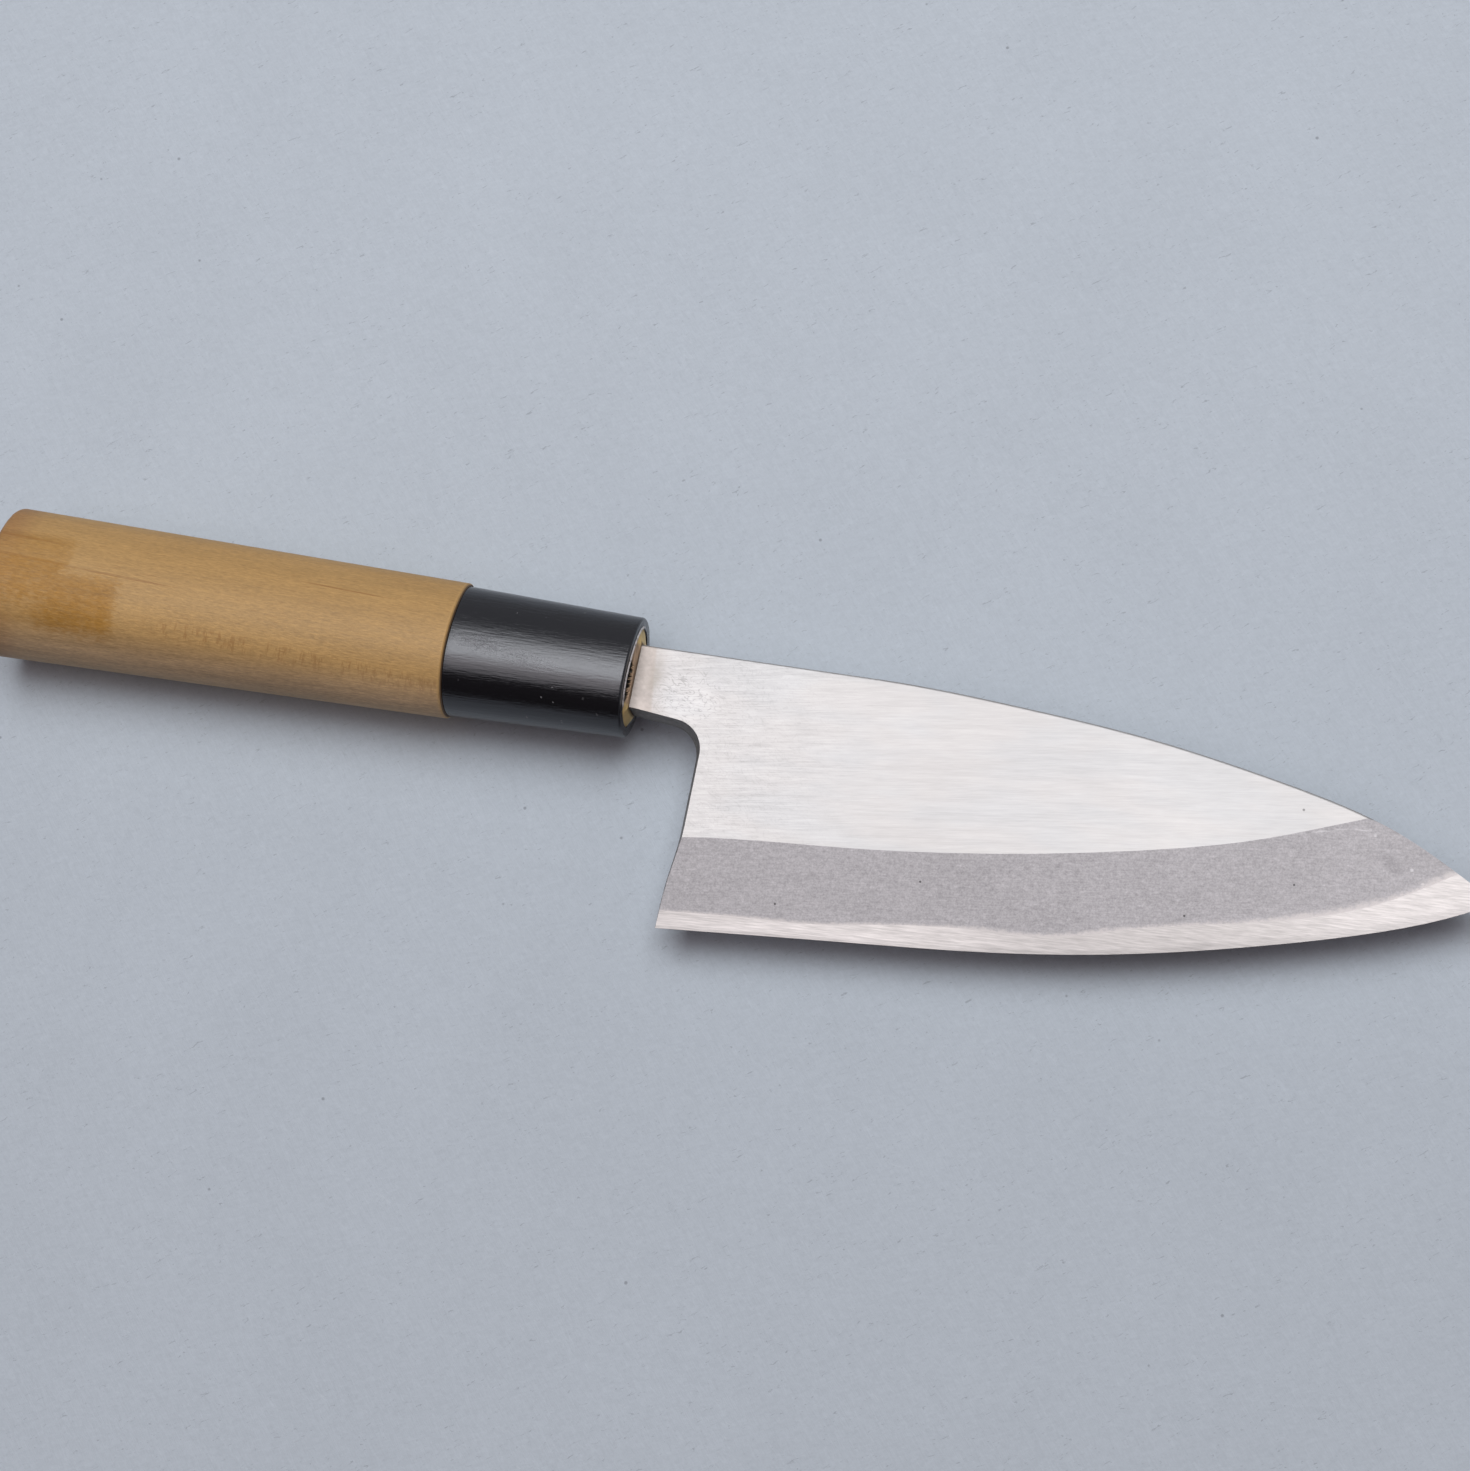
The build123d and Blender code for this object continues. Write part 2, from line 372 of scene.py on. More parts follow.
    def relief(self, height, depth):
        """Bumps of the given depth, in millimetres, from a height between 0 and 1."""
        made = self.node("ShaderNodeBump")
        made.inputs["Strength"].default_value = 1
        made.inputs["Distance"].default_value = depth * MM
        self.feed(made.inputs["Height"], height)
        self.tree.links.new(made.outputs["Normal"], self.shader["Normal"])


def section(half_height, half_thickness, end_radius, ridge):
    """The handle's soft D section: points and outward normals in the YZ plane, evenly spaced round it.

    Two round ends are joined by tangent crowns: one on the back, and two on the ground side, which meet at
    the ridge. A crown that spans s and rises r past an end's centre has the radius
    end + (s squared + r squared) / 2r.
    """
    reach = half_height - end_radius
    rise = half_thickness - end_radius
    spans = np.array([reach + ridge, reach - ridge, reach])
    radii = end_radius + (spans**2 + rise**2) / (2 * rise)
    turns = np.arctan2(radii - half_thickness, spans)
    spine, edge, back = turns
    top = axis_height + half_thickness
    bottom = axis_height - half_thickness
    arcs = np.array(
        [
            (reach, axis_height, end_radius, -back, back + spine),
            (-ridge, top - radii[0], radii[0], spine, pi / 2 - spine),
            (-ridge, top - radii[1], radii[1], pi / 2, pi / 2 - edge),
            (-reach, axis_height, end_radius, pi - edge, edge + back),
            (0, bottom + radii[2], radii[2], pi + back, pi - 2 * back),
        ]
    )
    ends = np.cumsum(arcs[:, 2] * arcs[:, 4])
    along = np.linspace(0, ends[-1], COLUMNS, endpoint=False)
    arc = np.searchsorted(ends, along, side="right")
    centre_y, centre_z, radius, start, sweep = arcs[arc].T
    angle = start + sweep + (along - ends[arc]) / radius
    normals = np.stack([np.cos(angle), np.sin(angle)], axis=1)
    points = np.stack([centre_y, centre_z], axis=1) + radius[:, None] * normals
    return points, normals


def corner(before, at, after, radius, steps=9):
    """A profile's corner rounded off: points on the arc that touches both of its sides.

    The arc starts and ends at radius / tan(half the corner's angle) from the corner.
    """
    one = (before - at) / np.linalg.norm(before - at)
    two = (after - at) / np.linalg.norm(after - at)
    half = np.arccos(np.clip(one @ two, -1, 1)) / 2
    middle = at + (one + two) / np.linalg.norm(one + two) * radius / np.sin(half)
    start = at + one * radius / np.tan(half) - middle
    end = at + two * radius / np.tan(half) - middle
    share_along = np.linspace(0, 1, steps)[:, None]
    sweep = pi - 2 * half
    arc = (start * np.sin((1 - share_along) * sweep) + end * np.sin(share_along * sweep)) / np.sin(sweep)
    return middle + arc


def outline(corners, gap, closed=False):
    """Profile points through corners, each a place on X, an inset and a radius.

    A corner with a radius becomes an arc, and the straight run from each corner to the next is divided
    evenly, with no gap longer than the one given.
    """
    at = np.array([place[:2] for place in corners], float)
    before, after = np.roll(at, 1, axis=0), np.roll(at, -1, axis=0)
    turns = [
        corner(before[index], at[index], after[index], radius) if radius else at[index : index + 1]
        for index, (*_, radius) in enumerate(corners)
    ]
    stretches = []
    for index, (turn, following) in enumerate(zip(turns, turns[1:] + turns[:1])):
        stretches.append(turn)
        if closed or index + 1 < len(turns):
            run = following[0] - turn[-1]
            count = int(np.linalg.norm(run) // gap)
            stretches.append(turn[-1] + np.linspace(0, 1, count + 2)[1:-1, None] * run)
    return np.concatenate(stretches)


def rings(points, normals, profile):
    """The section carried along X: each profile row is a place on X and how far the section is drawn in."""
    place, inset = profile[:, 0], profile[:, 1]
    flat = points[None, :, :] - inset[:, None, None] * normals[None, :, :]
    across = np.broadcast_to(place[:, None, None], (*flat.shape[:2], 1))
    return np.concatenate([across, flat], axis=2)


def level_ring(place, flat):
    """A ring of points in the plane square to X at a place."""
    return np.concatenate([np.full((len(flat), 1), place), flat], axis=1)


def skin(name, grid, material, closed=False):
    """A closed mesh over a grid of rings. Its rows close on each other, or else end in a pole each."""
    rows, columns = grid.shape[:2]
    index = np.arange(rows * columns).reshape(rows, columns)
    nearer = index if closed else index[:-1]
    further = np.roll(index, -1, axis=0) if closed else index[1:]
    quads = np.stack([nearer, np.roll(nearer, -1, axis=1), np.roll(further, -1, axis=1), further], axis=2)
    faces = quads.reshape(-1, 4).tolist()
    vertices = grid.reshape(-1, 3)
    if not closed:
        first, last = rows * columns, rows * columns + 1
        vertices = np.concatenate([vertices, grid[0].mean(axis=0)[None], grid[-1].mean(axis=0)[None]])
        start = np.stack([np.full(columns, first), np.roll(index[0], -1), index[0]], axis=1)
        end = np.stack([np.full(columns, last), index[-1], np.roll(index[-1], -1)], axis=1)
        faces += start.tolist() + end.tolist()
    mesh = bpy.data.meshes.new(name)
    mesh.from_pydata(vertices, [], faces)
    mesh.polygons.foreach_set("use_smooth", np.ones(len(faces), bool))
    mesh.materials.append(material)
    mesh.validate()
    piece = bpy.data.objects.new(name, mesh)
    bpy.context.scene.collection.objects.link(piece)
    return piece


def note(piece, name, values):
    """Keeps a number for each of a piece's points, which its material reads by name."""
    kept = piece.data.attributes.new(name, "FLOAT", "POINT")
    poles = len(piece.data.vertices) - len(values)
    kept.data.foreach_set("value", np.pad(values, (0, poles), mode="edge").astype(np.float32))


def dress(node, material):
    """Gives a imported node's object its finish, and leaves its mesh alone."""
    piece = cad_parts[node]
    piece.data.materials.clear()
    piece.data.materials.append(material)


def stand_for(piece, node):
    """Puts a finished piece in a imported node's place."""
    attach(piece, "root")
    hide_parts(node)


def weld_height(steel):
    """Height of the weld line over the back, in metres, along the blade: the same wander as the solids'."""
    heel, blade, scale = 11.8 * MM, 150 * MM, 1.25 * MM
    along = steel.math("DIVIDE", steel.math("SUBTRACT", steel.x, heel), blade)
    places = (0.0, 0.12, 0.19, 0.26, 0.37, 0.49, 0.57, 0.75, 0.86, 0.95, 1.0)
    depths = (1.20, 1.08, 0.97, 1.12, 1.18, 0.88, 1.04, 0.82, 0.78, 1.02, 1.04)
    height = steel.curve(along, [(place, depth * MM / scale) for place, depth in zip(places, depths)])
    return steel.math("MULTIPLY", height, scale)


def iron_finish(settings):
    """Soft iron: a brushed face, a blasted bevel, a dark notch, and dull steel by the ferrule."""
    iron = Finish("soft_iron_finish")
    size = (settings.line_length / MM, settings.line_width / MM)
    lines = iron.noise(size, turn=9, detail=4, rough=0.65, twist=0.25)
    streaks = iron.noise((20, 0.9), turn=8, detail=3, twist=0.4)
    scuffs = iron.noise((2.0, 0.7), turn=-30, detail=3, rough=0.65, twist=1.2)
    patches = iron.noise((6, 3.5), detail=3, rough=0.6)
    clouds = iron.noise((16, 10))
    grit = iron.noise(0.36, detail=3, rough=0.75)
    coarse = iron.noise(0.85, detail=2, rough=0.6)
    ground = iron.noise((2.4, 0.3), turn=8, detail=3, rough=0.6)
    curls = iron.curls((3.2, 1.8))

    bevel = iron.step(iron.lean_y, -0.05, -0.07)
    notch = iron.step(iron.lean_z, 0.75, 0.6)
    spine = iron.step(iron.lean_y, 0.3, 0.6)
    near_heel = iron.rise(iron.x, 55, 10)
    towards_tip = iron.rise(iron.x, 70, 110, 1.0, 1.05)

    curled = iron.blend(iron.oval((10, -3), (9, 7)), iron.math("MULTIPLY", near_heel, -0.10), -0.26)
    face_tone = iron.tone(
        (lines, iron.blend(near_heel, 0.28, 0.64)),
        (streaks, iron.blend(near_heel, 0.20, 0.25)),
        (scuffs, iron.math("MULTIPLY", near_heel, 0.20)),
        (patches, iron.blend(near_heel, 0.06, 0.16)),
        (clouds, 0.10),
        (curls, curled),
    )
    face_tone = iron.product(face_tone, iron.step(near_heel, 0, 1, 1.0, 0.97), towards_tip)
    face = iron.shade(settings.face_colour, face_tone)
    warmth = iron.step(iron.noise((20, 7), detail=2), 0.35, 0.65)
    face = iron.lay(warmth, 0.35, face, iron.shade(WARM_STEEL, face_tone))

    across_neck = iron.math("MULTIPLY_ADD", iron.y, 0.115, iron.x)
    strip = iron.rise(across_neck, 3.5, 2.8, 0.0, 0.45)
    haze = iron.rise(across_neck, 7, 3, 0.0, 0.35)
    dull = iron.math("ADD", strip, haze)
    face = iron.mix(dull, face, iron.shade(DULL_STEEL, iron.tone((coarse, 0.5), (patches, 0.5))))
    smudge = iron.product(iron.oval((3.4, 0.3), (2.0, 5.0), -4, 0.1), iron.step(patches, 0.3, 0.6))
    face = iron.lay(smudge, 0.6, face, SMUDGE)
    rust = iron.spots(((125.6, -5.5), (38.0, -35.5)), 0.32)
    face = iron.lay(rust, 0.7, face, RUST)

    bevel_tone = iron.tone((grit, 0.74), (coarse, 0.34), (ground, 0.36), (patches, 0.12), (clouds, 0.06))
    bevel_tone = iron.product(bevel_tone, iron.rise(iron.x, 25, 80, 1.05, 1.01))
    blast = iron.shade(settings.bevel_colour, bevel_tone)
    pits = iron.product(iron.specks(3.4, 0.2, 0.8), iron.step(grit, 0.4, 0.6))
    blast = iron.lay(pits, 0.45, blast, PIT)
    marks = iron.spots(((59.3, -30), (33.4, -38.2), (107.5, -28), (126, -19.2)), 0.28)
    blast = iron.lay(marks, 0.75, blast, SMALL_MARK)
    rubbed = iron.oval((142.6, -12.6), (3.4, 1.7), -35)
    blast = iron.lay(iron.product(rubbed, iron.step(coarse, 0.35, 0.6)), 0.35, blast, RUBBED)
    burr = iron.most(
        iron.stroke((122.5, -10.8), (136.5, -6.9), 0.55),
        iron.stroke((133.0, -7.6), (140.5, -7.2), 0.5),
        iron.spots(((137.9, -7.1), (138.9, -7.9), (148.5, -15.2), (146.2, -13.0)), 0.42),
    )
    blast = iron.lay(iron.product(burr, iron.step(ground, 0.35, 0.55)), 0.55, blast, BURR)
    over_weld = iron.math("SUBTRACT", iron.z, weld_height(iron))
    over_weld = iron.math("MULTIPLY_ADD", iron.math("SUBTRACT", coarse, 0.5), 0.35 * MM, over_weld)
    mist = iron.step(over_weld, 0.20 * MM, 0.0)
    blast = iron.lay(mist, 0.75, blast, iron.shade(settings.edge_colour, 1.1))

    tone = iron.mix(bevel, face, blast)
    forged = iron.shade(settings.forged_colour, iron.tone((coarse, 1.0), (patches, 0.4)))
    tone = iron.mix(notch, tone, iron.mix(spine, forged, settings.spine_colour))
    roughness = iron.blend(bevel, settings.face_roughness, settings.bevel_roughness)
    iron.surface(tone, iron.blend(notch, roughness, 0.6))
    iron.shader["Metallic"].default_value = 1
    face_height = iron.tone((lines, 1.0), (iron.math("MULTIPLY", scuffs, near_heel), 1.0))
    bevel_height = iron.tone((grit, 3.0), (ground, 1.5))
    iron.relief(iron.blend(bevel, face_height, bevel_height), 0.005)
    return iron.material


def steel_finish(settings):
    """Hard steel: lines ground along the edge, a duller rim beside it, and the flat back and its hollow."""
    steel = Finish("hard_steel_finish")
    fine = steel.noise((5, 0.24), turn=3, detail=4, rough=0.65, twist=0.2)
    streaks = steel.noise((13, 0.65), turn=4, detail=3, twist=0.3)
    clouds = steel.noise((12, 8))
    to_middle = steel.rise(steel.x, 45, 95, 1.0, 0.72)
    to_tip = steel.rise(steel.x, 108, 150, 1.0, 1.14)
    tone = steel.product(steel.tone((fine, 0.95), (streaks, 0.42), (clouds, 0.08)), to_middle, to_tip)
    ground_side = steel.step(steel.lean_z, 0, 0.3)
    rim = steel.math("MULTIPLY_ADD", steel.math("SUBTRACT", streaks, 0.5), 0.25 * MM, steel.z)
    rim = steel.product(steel.rise(rim, 0.42, 0.20), ground_side)
    tone = steel.product(tone, steel.step(rim, 0, 1, 1.0, 0.88))
    ground = steel.shade(settings.edge_colour, tone)
    side = steel.step(steel.math("ABSOLUTE", steel.lean_z), 0.75, 0.6)
    roughness = steel.math("MULTIPLY", steel.tone((streaks, 0.15)), settings.edge_roughness)
    steel.surface(steel.mix(side, ground, settings.forged_colour), roughness)
    steel.shader["Metallic"].default_value = 1
    steel.relief(fine, 0.004)
    return steel.material


def ferrule_finish(settings):
    """Polished black: lengthwise polishing marks, a scuffed patch at the rear, white dust with two painted
    highlights, and a painted highlight along the lip.
    """
    gloss = Finish("black_ferrule_finish")
    waves = gloss.noise((6, 1.4), detail=3, rough=0.6)
    marks = gloss.noise((4, 0.34), turn=1.5, detail=4, rough=0.7)
    streaks = gloss.noise((3.5, 0.6), turn=1.5, detail=2)
    scratches = gloss.noise((1.5, 0.45), turn=-20, detail=3, rough=0.6, twist=1.6)
    ragged = gloss.noise(0.5, detail=3, rough=0.7)
    upper = gloss.step(gloss.lean_z, 0, 0.2)

    handled = gloss.most(
        gloss.oval((-29.5, -0.6), (6.5, 2.6), -8, 0.2),
        gloss.product(gloss.oval((-20, -2.4), (9, 2.2), -6, 0.2), 0.6),
    )
    scuffed = gloss.product(handled, gloss.step(scratches, 0.42, 0.62), upper)
    curls = gloss.product(gloss.curls((2.4, 1.2)), handled, upper)
    # pale specks at listed places: white dust, except the two near y -11.5 mm on the lower side, which are
    # painted highlights
    dust_and_glint_x = (-14.1, -16.1, -13.8, -8.1, -5.3, -24.1, -19.1, -12.4, -11.8)
    dust_and_glint_y = (-6.6, -8.4, -8.9, -7.6, -9.6, 6.9, -11.6, -11.4, 9.5)
    grains = gloss.noise(0.22, detail=2, rough=0.7)
    dust_and_glints = gloss.product(gloss.spots(zip(dust_and_glint_x, dust_and_glint_y), 0.24), gloss.step(grains, 0.47, 0.56), upper)
    fine_dust = gloss.product(gloss.specks(1.7, 0.13, 0.78, shift=0.4), gloss.step(ragged, 0.45, 0.55))
    drawn_in = gloss.node("ShaderNodeAttribute", attribute_name="drawn_in").outputs["Fac"]
    # painted highlight: a pale, ragged line along the lip's bead, fading towards -Y, with a rougher surface
    lip_start = settings.taper + settings.wall
    lip_highlight = gloss.product(
        gloss.step(drawn_in, lip_start - settings.lip_width, lip_start - 0.9 * settings.lip_width),
        gloss.step(gloss.x, ferrule_high.x - 0.02 * MM, ferrule_high.x + 0.05 * MM),
        gloss.step(ragged, 0.32, 0.50, 0.15, 1.0),
        gloss.rise(gloss.y, -8.0, -6.4, 0.1, 1.0),
    )
    tone = gloss.lay(scuffed, 0.13, settings.gloss_colour, SCUFF)
    tone = gloss.mix(gloss.most(dust_and_glints, gloss.math("MULTIPLY", fine_dust, 0.4)), tone, DUST_AND_GLINTS)
    tone = gloss.lay(lip_highlight, 0.9, tone, LIP_HIGHLIGHT)
    roughness = gloss.math("MULTIPLY_ADD", marks, 0.26, settings.roughness - 0.10)
    roughness = gloss.math("MULTIPLY_ADD", scuffed, 0.10, roughness)
    roughness = gloss.math("MULTIPLY_ADD", curls, 0.30, roughness)
    gloss.surface(tone, gloss.blend(gloss.most(dust_and_glints, lip_highlight), roughness, 0.6))
    gloss.shader["IOR"].default_value = 1.6
    gloss.shader["Specular Tint"].default_value = (0.92, 0.94, 1.0, 1)
    height = gloss.tone((waves, 3.0), (streaks, 3.4), (marks, 5.2), (gloss.product(scuffed, scratches), 2.4))
    gloss.relief(height, 0.008)
    return gloss.material


def wood_finish(settings, shoulder):
    """Sanded wood: lengthwise grain, ray flecks on the ground side, a stain by the butt, a burnt mouth, and
    painted light and shade.
    """
    wood = Finish("pale_wood_finish")
    fibres = wood.noise((8, 0.34), turn=-1, detail=4, rough=0.65, twist=0.2)
    pores = wood.noise((1.3, 0.26), turn=-1, detail=3, rough=0.65)
    bands = wood.noise((70, 2.6), turn=-1.5, detail=3, twist=0.3)
    clouds = wood.noise((22, 8))
    mottle = wood.noise((1.6, 0.9), detail=3, rough=0.65)
    wrinkles = wood.noise((1.3, 0.5), turn=-6, detail=3, rough=0.65, twist=1.2)
    upper = wood.step(wood.z, 0, 4 * MM)

    rough_band = wood.between(wood.y, -8, -1, 4)
    rough_band = wood.math("MULTIPLY_ADD", rough_band, 0.34, 0.06)
    tone = wood.tone((fibres, 0.46), (pores, 0.85), (bands, 0.26), (clouds, 0.10), (wrinkles, rough_band))
    body = wood.shade(settings.wood_colour, tone)
    sunny = wood.step(clouds, 0.4, 0.65)
    body = wood.lay(sunny, 0.25, body, wood.shade(SUNNY_WOOD, tone))

    flecks = wood.noise((0.85, 3.2), turn=-5, detail=3, rough=0.7)
    across_band = wood.math("MULTIPLY_ADD", wood.x, 0.05, wood.y)
    band = wood.between(across_band, -12.6, -11.2, 1.4)
    band = wood.product(band, wood.rise(wood.x, -98, -86), upper)
    fleck = wood.product(wood.step(flecks, 0.50, 0.60), band, wood.step(pores, 0.3, 0.5))
    body = wood.lay(fleck, 0.50, body, settings.grain_colour)
    ticks = wood.product(wood.step(wood.noise((2.4, 0.30), turn=-1, detail=2), 0.62, 0.72), upper)
    body = wood.lay(ticks, 0.30, body, settings.grain_colour)
    lines = wood.most(
        wood.stroke((-140.0, 7.3), (-108.0, 5.9), 1.0),
        wood.stroke((-142.0, 3.4), (-100.0, 1.0), 1.1),
        wood.stroke((-116.0, 1.8), (-84.0, 0.4), 0.8),
        wood.stroke((-72.0, 6.4), (-42.0, 5.2), 0.6),
    )
    lines = wood.product(wood.step(lines, 0.1, 0.7), upper, wood.step(fibres, 0.25, 0.5))
    body = wood.lay(lines, 0.62, body, settings.grain_colour)

    wander = wood.math("MULTIPLY", wood.math("SUBTRACT", mottle, 0.5), 7 * MM)
    stain_x = wood.math("ADD", wood.x, wander)
    stain_y = wood.math("ADD", wood.y, wander)
    patch = wood.product(
        wood.rise(stain_x, -99.5, -102),
        wood.rise(stain_x, -120, -112, 0.25, 1.0),
        wood.rise(stain_y, 1.8, -1.8),
        wood.rise(stain_y, -12, -9),
    )
    old = wood.product(
        wood.rise(stain_x, -110.5, -113),
        wood.rise(wood.y, 2.6, 1.8, 0.6, 1.0),
        wood.rise(wood.y, 8.5, 6.5),
        wood.rise(stain_y, -9.5, -4.0),
    )
    mottled = wood.step(mottle, 0.34, 0.60, 0.70, 1.0)
    stain = wood.product(wood.most(patch, wood.product(old, 0.95)), upper, mottled)
    body = wood.lay(stain, 0.92, body, wood.shade(settings.stain_colour, tone))
    # painted light: a lengthwise band up to 7% lighter where the section turns away from the light; the body is
    # also up to 3% darker towards the ferrule
    painted_light_band = wood.between(across_band, -12.5, -10, 3)
    fall = wood.rise(wood.x, -85, -55, 1.0, 0.97)
    body = wood.shade(body, wood.product(wood.math("MULTIPLY_ADD", painted_light_band, 0.07, 1.0), fall))
    # painted light and shade: faces turned towards -Y are mixed towards a paler, bluer wood that stands in for
    # fill light and the floor's reflection, lighter towards the ferrule; the lowest faces are painted darker,
    # as shade
    painted_side_light = wood.step(wood.lean_y, -0.5, -0.95, 0.0, 0.55)
    painted_side_tone = wood.tone((fibres, 1.0), (pores, 1.4), (bands, 1.0))
    painted_side_tone = wood.product(
        painted_side_tone,
        wood.rise(wood.x, -68, -48, 0.90, 1.12),
        wood.step(wood.lean_z, 0.3, 0.0, 1.0, 0.84),
    )
    body = wood.mix(painted_side_light, body, wood.shade(PAINTED_SIDE_LIGHT, painted_side_tone))

    hem = wood.step(wood.x, shoulder - 1.0 * MM, shoulder - 0.5 * MM, 0.0, 0.4)
    body = wood.mix(hem, body, wood.shade(settings.wood_colour, 1.2))
    joint = wood.step(wood.x, shoulder - 0.32 * MM, shoulder - 0.12 * MM, 0.0, 0.92)
    body = wood.mix(joint, body, JOINT_LINE)
    in_mouth = wood.step(wood.x, wood_high.x - 3.4 * MM, wood_high.x - 2.4 * MM)
    by_tang = wood.node("ShaderNodeAttribute", attribute_name="by_tang").outputs["Fac"]
    chipped = wood.node("ShaderNodeAttribute", attribute_name="chipped").outputs["Fac"]
    # the mouth's end grain, its own tan raised to a pale tan as painted light on a face that the lamps reach
    # only at a grazing angle
    end_grain_with_painted_light = wood.shade(END_GRAIN_WITH_PAINTED_LIGHT, wood.tone((mottle, 0.5)))
    tang_middle = (settings.tang_top - settings.tang_bottom) / 2
    off_tang = wood.math("ABSOLUTE", wood.math("SUBTRACT", wood.y, tang_middle))
    beside = wood.rise(off_tang, 6.4, 5.4)
    streaked = wood.shade(STREAKED_GRAIN, wood.tone((wood.noise((0.5, 4, 0.35), detail=3), 2.2)))
    scorched = wood.mix(beside, end_grain_with_painted_light, streaked)
    burnt = wood.product(wood.step(by_tang, 0.7, 0.98), wood.step(mottle, 0.2, 0.5, 0.5, 0.9))
    scorched = wood.mix(burnt, scorched, settings.burnt_colour)
    # near black where the tenon's rim is chipped: charred wood, with painted shade in the gap
    scorched = wood.mix(wood.step(chipped, 0.02, 0.25), scorched, CHIP_CHAR_AND_SHADE)
    # the mouth's face: scorched wood, with painted light on its end grain and painted shade in its chips
    body = wood.mix(in_mouth, body, scorched)
    # darker brown over the butt's end and over the rounded corners near the butt, off the middle
    butt = wood.step(wood.lean_x, -0.15, -0.75)
    near_butt = wood.step(wood.x, wood_low.x + 9 * MM, wood_low.x + 1 * MM, 0.0, 0.65)
    off_middle = wood.most(
        wood.rise(wood.y, 2, 9, 0.3, 1.0),
        wood.rise(wood.y, -6, -11, 0.0, 0.9),
    )
    near_butt = wood.product(near_butt, off_middle)
    butt = wood.most(wood.math("MULTIPLY", butt, 0.72), near_butt)
    body = wood.mix(butt, body, wood.shade(BUTT_BROWN, tone))
    wood.surface(body, wood.math("MULTIPLY_ADD", fibres, 0.2, 0.48))
    wood.shader["IOR"].default_value = 1.5
    creased = wood.math("MULTIPLY", rough_band, 4.0)
    wood.relief(wood.tone((fibres, 1.0), (pores, 1.5), (wrinkles, creased), (fleck, -0.3)), 0.022)
    return wood.material


class KNIFE_OT_iron(bpy.types.Operator):
    """Gives the soft iron its brushed face, blasted bevel and dark notch"""

    bl_idname = "knife.iron"
    bl_label = "Soft iron"

    def execute(self, context):
        dress("blade_cladding", iron_finish(context.scene.knife_steel))
        return {"FINISHED"}


class KNIFE_OT_steel(bpy.types.Operator):
    """Gives the hard steel its ground edge and back"""

    bl_idname = "knife.steel"
    bl_label = "Hard steel"

    def execute(self, context):
        dress("hard_steel_layer", steel_finish(context.scene.knife_steel))
        return {"FINISHED"}


def ferrule_section(settings, ridge):
    """The section of the ferrule's outside at its rear."""
    half_thickness = (ferrule_high.z - ferrule_low.z) / 2
    return section(ferrule_high.y, half_thickness, settings.end_radius, ridge)


class KNIFE_OT_ferrule(bpy.types.Operator):
    """Makes the polished ferrule: a wall profile carried round the handle's section"""

    bl_idname = "knife.ferrule"
    bl_label = "Ferrule"

    def execute(self, context):
        settings = context.scene.knife_ferrule
        rear, front = ferrule_low.x, ferrule_high.x
        bore = settings.taper + settings.wall
        lip = front + settings.lip_height
        profile = outline(
            [
                (rear, 0, settings.rear_rounding),
                (front, settings.taper, settings.front_rounding),
                (front, bore - settings.lip_width, 0),
                (lip, bore - 0.6 * settings.lip_width, settings.lip_rounding),
                (lip, bore, settings.lip_rounding),
                (rear, bore, settings.rear_rounding),
            ],
            gap=1.2 * MM,
            closed=True,
        )
        points, normals = ferrule_section(settings, context.scene.knife_handle.ridge_offset)
        grid = rings(points, normals, profile)
        bead_end, bead_fade, ground_side = -10 * MM, 1 * MM, axis_height + 2 * MM
        bead = np.clip((points[:, 0] - bead_end) / bead_fade, 0, 1) * (points[:, 1] > ground_side)
        grid[:, :, 0] = np.minimum(grid[:, :, 0], front + settings.lip_height * bead)
        piece = skin("ferrule_shell", grid, ferrule_finish(settings), closed=True)
        note(piece, "drawn_in", np.repeat(profile[:, 1], COLUMNS))
        stand_for(piece, "ferrule")
        return {"FINISHED"}


